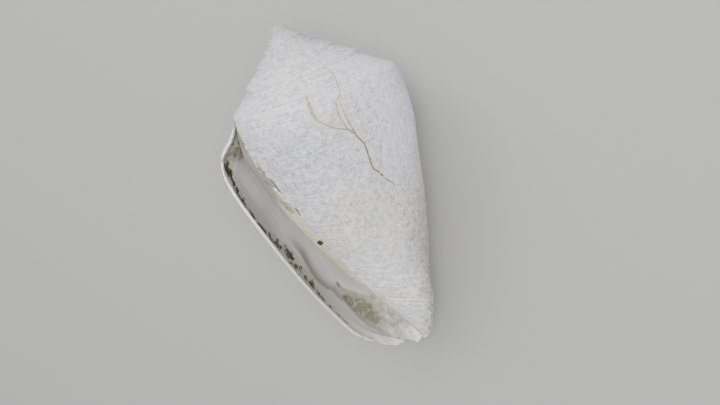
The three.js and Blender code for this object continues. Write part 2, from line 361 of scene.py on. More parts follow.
ceiling = between(wall[:, 0], pillar[:, 0], crosswise)
sag = sag_at(wall_turn[:, :1], crosswise)
angle = 2.0 * math.pi * wall_turn[:, :1]
ceiling += np.stack([-sag * np.cos(angle), -sag * np.sin(angle), sag], -1)
deep_end = between(wall[-1], pillar[-1], crosswise)
to_pillar = pillar[-1] - wall[-1]
toward_lip = np.stack([-to_pillar[:, 1], to_pillar[:, 0], 0.0 * to_pillar[:, 0]], -1)
bulge = DEEP_END_BULGE * (rows - TOP_ROW)
curve = crosswise * (1.0 - crosswise)
deep_end += (toward_lip * bulge[:, None])[:, None] * curve[None, :, None]
print("points on the side", side.shape[0] * side.shape[1])

# %% [markdown]
# ## The lip, the tip and the broken face
# The lip joins the outer line to the inner one with a rounded edge a little under a millimetre
# thick. The tip of the spire is worn to a small low dome. The open end shows the broken face of
# the wall, a thin crooked ring that is filled after the sheets are welded.

# %% Lip, tip and broken face
LIP_ROUNDING = 0.15
TIP_HEIGHT = 0.6
TIP_ROUNDING = 4.0
TIP_RINGS = 6

outer_edge = np.concatenate([spire[0][::-1], side[0][1:]])
# The top rows of the side all meet the same corner of the ceiling.
corner = np.repeat(ceiling[0][:1], len(lip_steps) - 1, axis=0)
inner_edge = np.concatenate([ceiling[0][::-1], corner, wall[0][1:]])
lip = between(outer_edge, inner_edge, lip_steps)
forward = np.array([0.0, -1.0, 0.0])
width = np.linalg.norm(outer_edge - inner_edge, axis=1)
swell = LIP_ROUNDING * width[:, None] * 4.0 * (lip_steps * (1.0 - lip_steps))[None]
lip += swell[..., None] * forward
# The first row lies on the older whorl, so it takes points of the skin there.
lip[0] = skin(np.full(len(lip_steps), 1.0), TOP_ROW * lip_steps)

last_turn = ramp(np.linspace(WHORLS - 1.0, WHORLS, STEPS_PER_TURN + 1), 0.0)
tip_ring = np.concatenate([last_turn, spire[-1][::-1][1:-1]])
tip_ring = np.concatenate([tip_ring, tip_ring[:1]])
outward = np.linspace(1.0, 0.0, TIP_RINGS + 1)
dome = tip_ring[:, None] * outward[None, :, None]
rise = tip_ring[:, None, 2] - TIP_HEIGHT
dome[..., 2] = TIP_HEIGHT + rise * outward ** TIP_ROUNDING

print("points on the lip", lip.shape[0] * lip.shape[1])

# %% [markdown]
# ## One welded mesh
# A sheet is turned into quads by joining neighbours in its grid. The quads of all sheets go into
# one mesh. Turn and spiral height are kept as a UV map, where corners of two whorls that meet can
# differ. Turn and height are also kept on the points, where marks will be measured from them.

# %% From sheets to arrays
points, quads, growth, kinds = [], [], [], []
KINDS = ["side", "pillar", "wall", "spire", "ceiling", "deep_end", "lip", "tip", "break"]


def add_sheet(kind, grid_points, turn, flip=False):
    start = sum(len(p) for p in points)
    flat = grid_points.reshape(-1, 3)
    turn = np.broadcast_to(turn, grid_points.shape[:-1]).reshape(-1)
    points.append(flat)
    growth.append(np.stack([turn, flat[:, 2] / size_at(turn)], -1))
    n, m = grid_points.shape[:2]
    i, j = np.meshgrid(np.arange(n - 1), np.arange(m - 1), indexing="ij")
    a = start + i * m + j
    corners = [a, a + 1, a + m + 1, a + m]
    if flip:
        corners.reverse()
    faces = np.stack(corners, -1).reshape(-1, 4)
    quads.append(faces)
    kinds.append(np.full(len(faces), KINDS.index(kind)))


add_sheet("side", side, side_turn, flip=True)
add_sheet("pillar", pillar, pillar_turn, flip=True)
add_sheet("wall", wall, wall_turn)
add_sheet("spire", spire, spire_turn)
add_sheet("ceiling", ceiling, wall_turn[:, :1], flip=True)
add_sheet("deep_end", deep_end, wall_turn[-1][:, None], flip=True)
add_sheet("lip", lip, 0.0, flip=True)
add_sheet("tip", dome, WHORLS)
all_points = np.concatenate(points)
all_growth = np.concatenate(growth)
faces = np.concatenate(quads)
print("points", len(all_points), "quads", len(faces))


# %% [markdown]
# ## Weld, close and cut finer
# Welding joins the sheets. The open end is then the only hole. It is closed, and what closes it is
# cut into triangles. The cracks and two dark lines are far thinner than a quad, so the quads near
# them are cut into smaller ones, where a groove can be pressed in and a mark stays sharp. A finer
# mesh everywhere would do it too, but would be ten times as large. Each place on a line is written
# as a turn, a height and a half width, as measured.

# %% Where the thin lines run
CRACK_ON_SPIRE = [(0.7, 13.7, 0.05), (0.692, 14.4, 0.09), (0.69, 15.7, 0.1), (0.698, 17.5, 0.12),
                  (0.707, 19.3, 0.14)]
CRACK_OVER_SHOULDER = [(0.71, 20.3, 0.14), (0.713, 21.0, 0.15), (0.724, 21.9, 0.16)]
CRACK_LEFT_FORK = [(0.724, 21.9, 0.16), (0.727, 23.5, 0.14), (0.728, 25.5, 0.14),
                   (0.724, 29.0, 0.15), (0.714, 31.2, 0.17)]
CRACK_RIGHT_FORK = [(0.718, 22.0, 0.1), (0.718, 25.9, 0.15), (0.715, 30.1, 0.16),
                    (0.714, 31.2, 0.17)]
CRACK_BELOW = [(0.714, 31.2, 0.18), (0.704, 34.6, 0.2), (0.704, 39.9, 0.2), (0.703, 41.6, 0.2),
               (0.695, 42.8, 0.18), (0.684, 45.7, 0.14), (0.665, 48.8, 0.06)]
BRANCH_ON_SPIRE = [(0.765, 18.1, 0.14), (0.766, 19.2, 0.26)]
BRANCH = [(0.767, 20.9, 0.34), (0.767, 22.7, 0.36), (0.765, 24.3, 0.26), (0.759, 25.4, 0.18),
          (0.745, 27.4, 0.14), (0.735, 28.4, 0.15), (0.726, 29.1, 0.14), (0.719, 30.0, 0.12)]
DARK_LINE = [(0.932, 34.6, 0.12), (0.928, 36.2, 0.3), (0.927, 38.2, 0.28), (0.925, 39.8, 0.12)]
DARK_LINE_SHORT = [(0.913, 44.6, 0.16), (0.911, 45.4, 0.34), (0.909, 46.8, 0.26)]
SHEET_SAMPLES = 400
FAR = 50.0


def on_sheet(sheet, turn, height):
    """The point of a sheet at one turn and one height."""
    steps = np.linspace(0.0, 1.0, SHEET_SAMPLES)
    samples = sheet(np.full(len(steps), turn), steps)
    samples = samples[np.argsort(samples[:, 2])]
    return [np.interp(height, samples[:, 2], samples[:, axis]) for axis in range(3)]


def stroke(sheet, places):
    """A line on a sheet, as rows of x, y, z and half width."""
    return np.array([(*on_sheet(sheet, turn, height), width) for turn, height, width in places])


def from_strokes(strokes, where):
    """Distance of points to the nearest stroke, counted in half widths of that stroke."""
    nearest = np.full(len(where), FAR)
    for line in strokes:
        for start, end in zip(line[:-1], line[1:]):
            run = end[:3] - start[:3]
            offset = where - start[:3]
            t = np.clip(offset @ run / (run @ run), 0.0, 1.0)
            gap = np.linalg.norm(offset - t[:, None] * run, axis=1)
            nearest = np.minimum(nearest, gap / (start[3] + (end[3] - start[3]) * t))
    return nearest


cracks = [stroke(ramp, CRACK_ON_SPIRE + CRACK_OVER_SHOULDER[:1]),
          stroke(skin, CRACK_OVER_SHOULDER), stroke(skin, CRACK_LEFT_FORK),
          stroke(skin, CRACK_RIGHT_FORK), stroke(skin, CRACK_BELOW),
          np.concatenate([stroke(ramp, BRANCH_ON_SPIRE), stroke(skin, BRANCH)])]
dark_lines = [stroke(skin, DARK_LINE), stroke(skin, DARK_LINE_SHORT)]
print("length of the cracks in mm", round(sum(
    np.linalg.norm(np.diff(line[:, :3], axis=0), axis=1).sum() for line in cracks), 1))

# %% Weld and close
WELD = 0.002


def keep(name, values, kind="FLOAT", domain="POINT"):
    """Keeps a value for each point of the mesh, or each face."""
    mesh.attributes.new(name, kind, domain).data.foreach_set("value", values)


mesh = bpy.data.meshes.new("fossil_shell")
mesh.from_pydata(all_points.tolist(), [], faces.tolist())
corner_points = np.empty(len(mesh.loops), dtype=np.int64)
mesh.loops.foreach_get("vertex_index", corner_points)
uv = mesh.uv_layers.new(name="growth")
uv.data.foreach_set("uv", all_growth[corner_points].ravel())
keep("kind", np.concatenate(kinds), "INT", "FACE")
keep("turn", all_growth[:, 0])
keep("height", all_points[:, 2])
keep("sheet", np.concatenate([np.full(len(p), float(i)) for i, p in enumerate(points)]))

bm = bmesh.new()
bm.from_mesh(mesh)
bmesh.ops.remove_doubles(bm, verts=bm.verts, dist=WELD)
kind_of = bm.faces.layers.int["kind"]
rim = [edge for edge in bm.edges if edge.is_boundary]
closing = bmesh.ops.holes_fill(bm, edges=rim, sides=0)["faces"]
for face in closing:
    face[kind_of] = KINDS.index("break")
bmesh.ops.triangulate(bm, faces=closing)
print("edges of the hole", len(rim), "faces that close it", len(closing))

# %% Cut finer near the thin lines
FINE_BAND = 0.9
FINEST_EDGE = 0.24
ROUNDS = 4

for step in range(ROUNDS):
    where = np.array([vert.co for vert in bm.verts])
    bands = [np.column_stack([line[:, :3], np.full(len(line), FINE_BAND)])
             for line in cracks + dark_lines]
    near = from_strokes(bands, where) < 1.0
    outside = {KINDS.index("side"), KINDS.index("spire")}
    chosen = [edge for edge in bm.edges
              if (near[edge.verts[0].index] or near[edge.verts[1].index])
              and edge.calc_length() > FINEST_EDGE
              and all(face[kind_of] in outside for face in edge.link_faces)]
    bmesh.ops.subdivide_edges(bm, edges=chosen, cuts=1, use_grid_fill=True)
    bm.verts.index_update()
    print("edges cut", len(chosen))
midpoints = [vert for vert in bm.verts if len(vert.link_edges) == 2]
bmesh.ops.dissolve_verts(bm, verts=midpoints)
print("needless midpoints", len(midpoints))
bmesh.ops.triangulate(bm, faces=[face for face in bm.faces if len(face.verts) > 4])
bmesh.ops.recalc_face_normals(bm, faces=bm.faces)
bm.to_mesh(mesh)
open_edges = [edge for edge in bm.edges if not edge.is_manifold]
print("points", len(bm.verts), "faces", len(bm.faces), "open edges", len(open_edges))
bm.free()

# %% [markdown]
# ## Where the marks lie
# Dirt, stains, the worn patch and the edge of the inner lip each have their own place. They could
# be painted on an image, but then the paint would be tied to a picture. Here each mark is a short
# line on a sheet, and every point of the mesh keeps its distance to it. The paint and the relief
# both read these distances, so they always agree.

# %% Marks inside the opening
STAIN = [(0.012, 28.2, 0.7), (0.017, 29.2, 1.1), (0.022, 30.8, 1.4), (0.025, 32.3, 1.1),
         (0.025, 34.0, 0.7), (0.022, 36.0, 1.2), (0.017, 37.6, 1.8), (0.01, 41.2, 1.2),
         (0.008, 43.4, 1.3), (0.006, 45.0, 0.6), (0.008, 48.3, 1.2), (0.014, 51.5, 1.2),
         (0.026, 54.4, 1.6), (0.028, 58.0, 2.2), (0.027, 62.0, 2.4), (0.026, 66.0, 2.2),
         (0.024, 69.5, 1.8), (0.019, 73.0, 0.9), (0.015, 76.0, 0.5), (0.012, 79.9, 0.35),
         (0.011, 83.0, 0.3), (0.01, 89.5, 0.2)]
RIM_SHADE = [(0.0, 27.1, 0.5), (0.0, 29.0, 0.45), (0.0, 32.0, 0.4), (0.0, 38.0, 0.3),
             (0.0, 60.0, 0.32), (0.0, 80.0, 0.3), (0.0, 92.0, 0.15)]
RIM_SHADE_ABOVE = 0.5
PATCH = [(0.098, 78.0, 0.35), (0.1, 80.6, 1.3), (0.106, 83.0, 2.4), (0.118, 86.5, 3.1),
         (0.125, 90.0, 3.0), (0.12, 92.4, 1.6)]
PATCH_BROWN = [(0.083, 81.4, 1.0), (0.094, 84.3, 1.9), (0.107, 88.0, 1.9), (0.104, 91.0, 1.6)]
PATCH_SPOT = [(0.096, 76.6, 0.4), (0.097, 77.5, 0.45)]
VEIL = [(0.15, 86.5, 1.6), (0.17, 91.0, 3.0), (0.17, 95.0, 4.0), (0.24, 101.0, 3.4)]
DEEP_DOT = [(0.0765, 43.1, 0.35), (0.0775, 43.5, 0.35)]
GLAZE_HEIGHTS = [40.0, 57.9, 62.7, 65.6, 69.0, 72.3, 75.0, 76.7, 79.6, 82.7, 100.0]
GLAZE_TURNS = [0.06, 0.067, 0.067, 0.061, 0.053, 0.05, 0.055, 0.067, 0.066, 0.069, 0.05]

# %% Marks on the outside
INNER_LIP_HEIGHTS = [20.6, 23.2, 25.5, 29.0, 34.1, 36.0, 38.8, 43.0, 45.7, 47.7, 51.3, 55.0,
                     59.9, 64.1, 68.3, 75.8, 80.0, 85.5, 92.0, 99.0]
INNER_LIP_TURNS = [0.966, 0.946, 0.938, 0.934, 0.934, 0.927, 0.925, 0.927, 0.915, 0.915, 0.906,
                   0.898, 0.903, 0.91, 0.915, 0.917, 0.925, 0.92, 0.93, 0.94]
SPECK = [(0.927, 57.3, 0.6), (0.911, 56.6, 0.7)]
CREAM = [(0.936, 38.4, 0.6), (0.934, 40.0, 1.0), (0.931, 41.5, 0.3), (0.93, 42.6, 0.8),
         (0.929, 43.8, 0.6)]
CREAM_ABOVE = [(0.947, 25.2, 0.6), (0.943, 26.2, 0.1), (0.939, 26.9, 0.5), (0.938, 28.0, 0.1),
               (0.937, 29.0, 0.5), (0.939, 29.8, 0.1), (0.941, 30.6, 0.4)]
SMUDGE_CORNER = [(0.98, 22.2, 0.6), (0.962, 23.4, 0.7), (0.958, 24.4, 0.9), (0.961, 25.4, 0.5)]
SMUDGE_ABOVE = [(0.938, 31.5, 0.7), (0.935, 32.6, 1.1)]
SMUDGE_SMALL = [(0.95, 35.3, 0.6), (0.948, 36.3, 0.8)]
SMUDGE_BELOW = [(0.942, 42.7, 0.9), (0.938, 44.0, 1.4), (0.931, 45.4, 1.1)]
OCHRE_LOW = [(0.844, 28.3, 0.9), (0.848, 30.1, 0.8)]
OCHRE_HIGH = [(0.836, 16.6, 0.8), (0.832, 17.6, 0.6)]
OCHRE_NEAR_TIP = [(1.845, 8.8, 0.6), (1.845, 9.7, 0.5)]
DOT_HIGH = [(0.703, 16.4, 0.22), (0.705, 17.0, 0.25)]
DOT_LOW = [(0.715, 17.8, 0.2), (0.717, 18.1, 0.2)]

MARKS = {
    "crack": cracks,
    "stain": [stroke(lining, STAIN)],
    "rim_shade": [stroke(lining, RIM_SHADE), np.column_stack(
        [ceiling[0], np.full(len(crosswise), RIM_SHADE_ABOVE)])],
    "patch": [stroke(lining, PATCH)],
    "patch_brown": [stroke(lining, PATCH_BROWN), stroke(lining, PATCH_SPOT)],
    "veil": [stroke(lining, VEIL)],
    "deep_dot": [stroke(lining, DEEP_DOT)],
    "speck": [stroke(skin, SPECK)],
    "cream": [stroke(skin, CREAM), stroke(skin, CREAM_ABOVE)],
    "smudge": [stroke(skin, SMUDGE_ABOVE), stroke(skin, SMUDGE_BELOW),
               stroke(skin, SMUDGE_SMALL), stroke(skin, SMUDGE_CORNER)],
    "dark_line": dark_lines,
    "ochre": [stroke(skin, OCHRE_LOW), stroke(ramp, OCHRE_HIGH), stroke(ramp, OCHRE_NEAR_TIP)],
    "dot": [stroke(ramp, DOT_HIGH), stroke(ramp, DOT_LOW)],
}


# %% Distances kept on the points
def read(data, field, size=1):
    values = np.empty(len(data) * size)
    data.foreach_get(field, values)
    return values if size == 1 else values.reshape(-1, size)


def kept(name):
    return read(mesh.attributes[name].data, "value")


where = read(mesh.vertices, "co", 3)
point_turn = kept("turn")
point_height = kept("height")
once_round = 2.0 * math.pi * np.hypot(where[:, 0], where[:, 1])
distance = {name: from_strokes(strokes, where) for name, strokes in MARKS.items()}
inner_lip = np.interp(point_height, INNER_LIP_HEIGHTS, INNER_LIP_TURNS)
glaze_edge = np.interp(point_height, GLAZE_HEIGHTS, GLAZE_TURNS)
distance["past_inner_lip"] = (point_turn - inner_lip) * once_round
distance["past_glaze"] = (point_turn - glaze_edge) * once_round
distance["past_lip"] = point_turn * once_round
for name, values in distance.items():
    keep(name, values)
print("points on a crack", int((distance["crack"] < 1.0).sum()))

# %% [markdown]
# ## Fine relief
# The surface of a fossil is never smooth. Slow waves, pressed grooves along the cracks, a sunken
# patch, the low step of the glaze and chips in the rim are moved into the mesh itself, because
# they catch light at the edges. Grain finer than the mesh is left to the bump in the finish. A
# displace modifier with a texture could do this too, but it would not follow these marks.

# %% Press and raise the points
WAVE_SIZE = 7.0
WAVE_DEPTH = 0.16
RIPPLE_SIZE = 2.6
RIPPLE_DEPTH = 0.05
CRACK_DEPTH = 0.16
PATCH_DEPTH = 0.16
PATCH_ROUGH_SIZE = 1.1
PATCH_ROUGHNESS = 0.12
GLAZE_STEP = 0.14
GLAZE_STARTS = (64.0, 71.0)
CHIP_SIZE = 2.4
CHIP_DEPTH = 0.12
CHIP_DEPTH_AT_FOOT = 1.5
CHIP_OUT = 0.2
CHIP_REACH = 2.5
FOOT_STARTS = (86.0, 92.0)
FOOT_ROUGH_SIZE = 1.7
FOOT_ROUGHNESS = 0.3
WAVES_AT_LIP = 0.2
WAVES_LOST_AT_FOOT = 0.6
CALM_BEHIND_LIP = 3.0
GROOVE_EDGE = (0.4, 1.6)
PATCH_EDGE = (0.85, 1.1)
VEIL_EDGE = (0.7, 1.2)
GLAZE_EDGE = (-0.5, 0.0)


def waves(size, seed):
    shift = Vector((seed, seed, seed))
    return np.array([noise.noise(Vector(place) / size + shift) for place in where])


mesh.update()
normals = read(mesh.vertex_normals, "vector", 3)
sheet_of = kept("sheet")
on_outside = np.isin(sheet_of, [KINDS.index("side"), KINDS.index("spire"), KINDS.index("tip")])
on_wall = sheet_of == KINDS.index("wall")
at_foot = smoothstep(point_height, *FOOT_STARTS)
from_lip = smoothstep(distance["past_lip"], 0.0, CALM_BEHIND_LIP)
slow = WAVE_DEPTH * waves(WAVE_SIZE, 1.0) + RIPPLE_DEPTH * waves(RIPPLE_SIZE, 2.0)
calm = WAVES_AT_LIP + (1.0 - WAVES_AT_LIP) * from_lip
lift = slow * calm * (1.0 - WAVES_LOST_AT_FOOT * at_foot)

groove = 1.0 - smoothstep(distance["crack"], *GROOVE_EDGE)
lift -= CRACK_DEPTH * groove * on_outside
worn = 1.0 - smoothstep(distance["patch"], *PATCH_EDGE)
rough = PATCH_DEPTH + PATCH_ROUGHNESS * waves(PATCH_ROUGH_SIZE, 3.0)
lift -= rough * worn * on_wall
veiled = 1.0 - smoothstep(distance["veil"], *VEIL_EDGE)
lift += FOOT_ROUGHNESS * waves(FOOT_ROUGH_SIZE, 5.0) * veiled * on_wall
glazed = 1.0 - smoothstep(distance["past_glaze"], *GLAZE_EDGE)
glazed = glazed * smoothstep(point_height, *GLAZE_STARTS) * from_lip
lift += GLAZE_STEP * glazed * on_wall

chip_depth = CHIP_DEPTH + (CHIP_DEPTH_AT_FOOT - CHIP_DEPTH) * at_foot
chips = chip_depth * np.maximum(waves(CHIP_SIZE, 4.0), -CHIP_OUT)
chips = chips * (1.0 - smoothstep(distance["past_lip"], 0.0, CHIP_REACH))
angle = 2.0 * math.pi * point_turn
backward = np.stack([-np.sin(angle), np.cos(angle), 0.0 * angle], -1)
where = where + normals * lift[:, None] + backward * chips[:, None]
print("deepest in mm", round(float(lift.min()), 2), "highest", round(float(lift.max()), 2))

# %% [markdown]
# ## Laying the shell down
# The shell so far stands on its axis. It is turned about that axis until the widest part of its
# back faces down, then tipped over onto the floor. Where it rests, its back is worn flat by less
# than half a millimetre. The same turn and dip were used for the solid in the frame, and the fine
# shell is centred on that solid.

# %% Turn, tip and centre
REST_TURN = 1.0 / 3.0
REST_DIP_DEGREES = 11.5
REST_WEAR = 0.45
SHARP_DEGREES = 38.0

lay = Matrix.Rotation(math.radians(90.0 + REST_DIP_DEGREES), 4, "X")
spin = Matrix.Rotation(-2.0 * math.pi * (0.25 + REST_TURN), 4, "Z")
laid = lay @ spin
positions = where @ np.array(laid.to_3x3()).T
low, high = positions.min(0), positions.max(0)
cad_middle = (np.array(cad_low) + np.array(cad_high)) / (2.0 * MM)
shift = np.array([cad_middle[0] - (low[0] + high[0]) / 2.0,
                  cad_middle[1] - (low[1] + high[1]) / 2.0,
                  -low[2] - REST_WEAR])
placed = positions + shift
placed[:, 2] = np.maximum(placed[:, 2], 0.0)
mesh.vertices.foreach_set("co", (placed * MM).ravel())
mesh.polygons.foreach_set("use_smooth", np.ones(len(mesh.polygons), dtype=bool))
mesh.set_sharp_from_angle(angle=math.radians(SHARP_DEGREES))
mesh.update()

shell = bpy.data.objects.new("fossil_shell", mesh)
bpy.context.collection.objects.link(shell)
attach(shell, "root")
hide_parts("shell")
print("shell size in mm", np.ptp(placed, axis=0).round(2), "shift", shift.round(2))

# %% [markdown]
# ## Small tools for the finish
# A finish is a web of nodes. Short helpers keep it readable: one adds a node and wires its inputs,
# and the others make sums, blends and soft steps with it. Effects that several finishes need, such
# as clouds of tone, growth lines and ragged edges, are made once as node groups. A photograph
# wrapped round the shell would be quicker, but it would show only one side and would carry the
# light of that day with it.

# %% Node helpers
def opaque(value):
    """A colour gets its alpha of 1, and a number stays as it is."""
    return (*value, 1.0) if isinstance(value, tuple) else value


def add_node(tree, kind, inputs=None, **settings):
    """Adds a shader node. An input takes a number, a colour or the output of another node."""
    node = tree.nodes.new("ShaderNode" + kind)
    for name, value in settings.items():
        setattr(node, name, value)
    for key, value in (inputs or {}).items():
        if isinstance(value, bpy.types.NodeSocket):
            tree.links.new(value, node.inputs[key])
        else:
            node.inputs[key].default_value = opaque(value)
    return node.outputs


def calc(tree, operation, *values):
    return add_node(tree, "Math", dict(enumerate(values)), operation=operation)[0]


def blend(tree, share, start, end):
    """Mixes two colours, which are sockets 6 and 7 of the Mix node."""
    return add_node(tree, "Mix", {0: share, 6: start, 7: end}, data_type="RGBA")[2]


def fade(tree, value, start, end):
    """0 at start, 1 at end, with soft ends."""
    inputs = {"Value": value, "From Min": start, "From Max": end}
    return add_node(tree, "MapRange", inputs, interpolation_type="SMOOTHSTEP")[0]


def both(tree, first, second):
    return calc(tree, "MULTIPLY", first, second)


def stored(tree, name):
    return add_node(tree, "Attribute", attribute_name=name)["Fac"]


def by_height(tree, span):
    """Soft step over the height on the axis, in millimetres from the tip."""
    return fade(tree, stored(tree, "height"), *span)


def start_group(name, inputs, outputs):
    """A new node group with named sockets. A tuple stands for a colour."""
    tree = bpy.data.node_groups.new(name, "ShaderNodeTree")
    for label, value in inputs.items():
        kind = "NodeSocketColor" if isinstance(value, tuple) else "NodeSocketFloat"
        socket = tree.interface.new_socket(label, in_out="INPUT", socket_type=kind)
        socket.default_value = opaque(value)
    for label in outputs:
        kind = "NodeSocketColor" if label == "Color" else "NodeSocketFloat"
        tree.interface.new_socket(label, in_out="OUTPUT", socket_type=kind)
    given = tree.nodes.new("NodeGroupInput").outputs
    result = tree.nodes.new("NodeGroupOutput").inputs
    return tree, given, result


# %% [markdown]
# ## Clouds, growth lines and ragged edges
# Clouds are soft noise with a size in millimetres, fixed to the shell. Growth lines are noise
# stretched along the shell's own growth: one set of lines runs round with the spiral, the other
# runs along the shell, as each old lip did. A ragged edge turns a kept distance into a mask with a
# crumbled border, which suits dirt, stains and wear. Noise seldom comes near 0 or 1, so its middle
# is spread out to the full range.

# %% Group: cloud
CLOUD_MIDDLE = {"From Min": 0.28, "From Max": 0.72}
LINE_MIDDLE = {"From Min": 0.3, "From Max": 0.7}

cloud, given, result = start_group("cloud", {"Size": 1.0, "Detail": 2.0, "Seed": 0.0}, ["Value"])
place = add_node(cloud, "TexCoord")["Object"]
per_size = calc(cloud, "DIVIDE", 1.0 / MM, given["Size"])
scaled = add_node(cloud, "VectorMath", {0: place, "Scale": per_size}, operation="SCALE")[0]
soft = add_node(cloud, "TexNoise", {"Vector": scaled, "W": given["Seed"], "Scale": 1.0,
                                    "Detail": given["Detail"]}, noise_dimensions="4D")["Fac"]
spread = add_node(cloud, "MapRange", {"Value": soft, **CLOUD_MIDDLE})[0]
cloud.links.new(spread, result["Value"])


def cloudy(tree, size, detail=2.0, seed=0.0):
    inputs = {"Size": size, "Detail": detail, "Seed": seed}
    return add_node(tree, "Group", inputs, node_tree=cloud)["Value"]


def patchy(tree, size, detail, seed, start, end):
    """Clouds cut into soft patches."""
    return fade(tree, cloudy(tree, size, detail, seed), start, end)


# %% Group: growth lines
growth_lines, given, result = start_group(
    "growth lines", {"Spiral Spacing": 0.9, "Lines Per Turn": 160.0, "Run": 9.0},
    ["Spiral", "Along"])
growth_map = add_node(growth_lines, "UVMap", uv_map="growth")["UV"]
axes = add_node(growth_lines, "SeparateXYZ", {0: growth_map})
down = calc(growth_lines, "DIVIDE", axes["Y"], given["Spiral Spacing"])
far_round = calc(growth_lines, "MULTIPLY", axes["X"], given["Run"])
round_vector = add_node(growth_lines, "CombineXYZ", {"X": far_round, "Y": down})[0]
spiral = add_node(growth_lines, "TexNoise", {"Vector": round_vector, "Scale": 1.0,
                                             "Detail": 3.0})["Fac"]
close_round = calc(growth_lines, "MULTIPLY", axes["X"], given["Lines Per Turn"])
far_down = calc(growth_lines, "DIVIDE", axes["Y"], given["Run"])
along_vector = add_node(growth_lines, "CombineXYZ", {"X": close_round, "Y": far_down, "Z": 7.0})[0]
along = add_node(growth_lines, "TexNoise", {"Vector": along_vector, "Scale": 1.0,
                                            "Detail": 3.0})["Fac"]
for label, value in (("Spiral", spiral), ("Along", along)):
    spread = add_node(growth_lines, "MapRange", {"Value": value, **LINE_MIDDLE})[0]
    growth_lines.links.new(spread, result[label])

# %% Group: ragged edge
ragged, given, result = start_group(
    "ragged edge", {"Value": 0.0, "From": 1.2, "To": 0.8, "Raggedness": 0.5, "Grain": 0.8,
                    "Seed": 0.0}, ["Mask"])
crumbs = cloudy(ragged, given["Grain"], 3.0, given["Seed"])
centred = calc(ragged, "SUBTRACT", crumbs, 0.5)
moved = calc(ragged, "MULTIPLY_ADD", centred, given["Raggedness"], given["Value"])
ragged.links.new(fade(ragged, moved, given["From"], given["To"]), result["Mask"])


def edge_mask(tree, name, start, end, raggedness, grain, seed=0.0):
    """Mask of a kept distance: 0 where it is at start, 1 where it has reached end."""
    inputs = {"Value": stored(tree, name), "From": start, "To": end, "Raggedness": raggedness,
              "Grain": grain, "Seed": seed}
    return add_node(tree, "Group", inputs, node_tree=ragged)["Mask"]


# %% Group: chalky wear
WARM_BELOW = 0.4
WARM_CLOUDS = 0.8
# Painted light and shade on the outside: the upper flank lighter, the lower flank and the front
# darker.
FLANK_SHADE = 0.5
FLANK_LIGHT = 0.18
FLANK_SMOOTHER = 0.45
FRONT_SHADE = 0.14
LOWER_HALF = (30.0, 58.0)
OFF_SPIRE = (25.0, 38.0)
ABOVE_FOOT = (88.0, 74.0)
RIGHT_SIDE = (0.78, 0.64)
FLANK = (0.72, 0.6)
FLANK_DARKENS = (35.0, 68.0)
FRONT_STARTS = (18.0, 30.0)
FRONT_ENDS = (66.0, 52.0)
SPACING_ON_SPIRE = 0.55
SPACING_WIDENS_BY = 0.5
BUMP_MIDDLE = 0.3
BUMP_PER_SHADE = -0.2

chalky, given, result = start_group(
    "chalky wear and painted light", {"Cool": (0.6, 0.6, 0.64), "Warm": (0.6, 0.6, 0.58),
                    "Grain": 0.12, "Pits": 0.2, "Line Depth": 0.1}, ["Color", "Height"])
warm_clouds = calc(chalky, "MULTIPLY", cloudy(chalky, 19.0, 4.0, 1.0), WARM_CLOUDS)
warmth = calc(chalky, "MULTIPLY_ADD", by_height(chalky, LOWER_HALF), WARM_BELOW, warm_clouds)
tone = blend(chalky, warmth, given["Cool"], given["Warm"])

off_spire = by_height(chalky, OFF_SPIRE)
spacing = calc(chalky, "MULTIPLY_ADD", off_spire, SPACING_WIDENS_BY, SPACING_ON_SPIRE)
lines = add_node(chalky, "Group", {"Spiral Spacing": spacing, "Run": 13.0},
                 node_tree=growth_lines)
right_side = fade(chalky, stored(chalky, "turn"), *RIGHT_SIDE)
patches = patchy(chalky, 13.0, 2.0, 13.0, 0.5, 0.8)
lengthwise = both(chalky, calc(chalky, "MAXIMUM", patches, right_side), off_spire)
lengthwise = both(chalky, lengthwise, by_height(chalky, ABOVE_FOOT))
# Sockets 2 and 3 of the Mix node are its two plain numbers.
grooves = add_node(chalky, "Mix", {0: lengthwise, 2: lines["Spiral"], 3: lines["Along"]})[0]
grooves = calc(chalky, "SUBTRACT", grooves, 0.5)

# The flank mask also smooths the growth lines there. Its tone is painted light high up and painted
# shade lower down, and the front gets painted shade.
flank = fade(chalky, stored(chalky, "turn"), *FLANK)
flank_painted_light_and_shade = calc(chalky, "MULTIPLY_ADD", by_height(chalky, FLANK_DARKENS), FLANK_SHADE,
                  -FLANK_LIGHT)
front_painted_shade = both(chalky, by_height(chalky, FRONT_STARTS), by_height(chalky, FRONT_ENDS))
front_painted_shade = both(chalky, front_painted_shade, calc(chalky, "SUBTRACT", 1.0, flank))
pits = patchy(chalky, 0.8, 3.0, 4.0, 0.3, 0.05)
line_depth = both(chalky, given["Line Depth"],
                  calc(chalky, "MULTIPLY_ADD", flank, -FLANK_SMOOTHER, 1.0))
speckle = calc(chalky, "ADD", cloudy(chalky, 1.3, 4.0, 2.0), cloudy(chalky, 0.45, 2.0, 3.0))
shade = both(chalky, calc(chalky, "SUBTRACT", speckle, 1.0), given["Grain"])
for mask, amount in ((flank, flank_painted_light_and_shade), (front_painted_shade, FRONT_SHADE), (pits, given["Pits"]),
                     (grooves, line_depth)):
    shade = calc(chalky, "MULTIPLY_ADD", mask, amount, shade)
light = calc(chalky, "SUBTRACT", 1.0, shade)
shaded = add_node(chalky, "MixRGB", {0: 1.0, 1: tone, 2: light}, blend_type="MULTIPLY")[0]
chalky.links.new(shaded, result["Color"])
bump_height = calc(chalky, "MULTIPLY_ADD", shade, BUMP_PER_SHADE, BUMP_MIDDLE)
chalky.links.new(bump_height, result["Height"])
print("node groups", [group.name for group in bpy.data.node_groups])

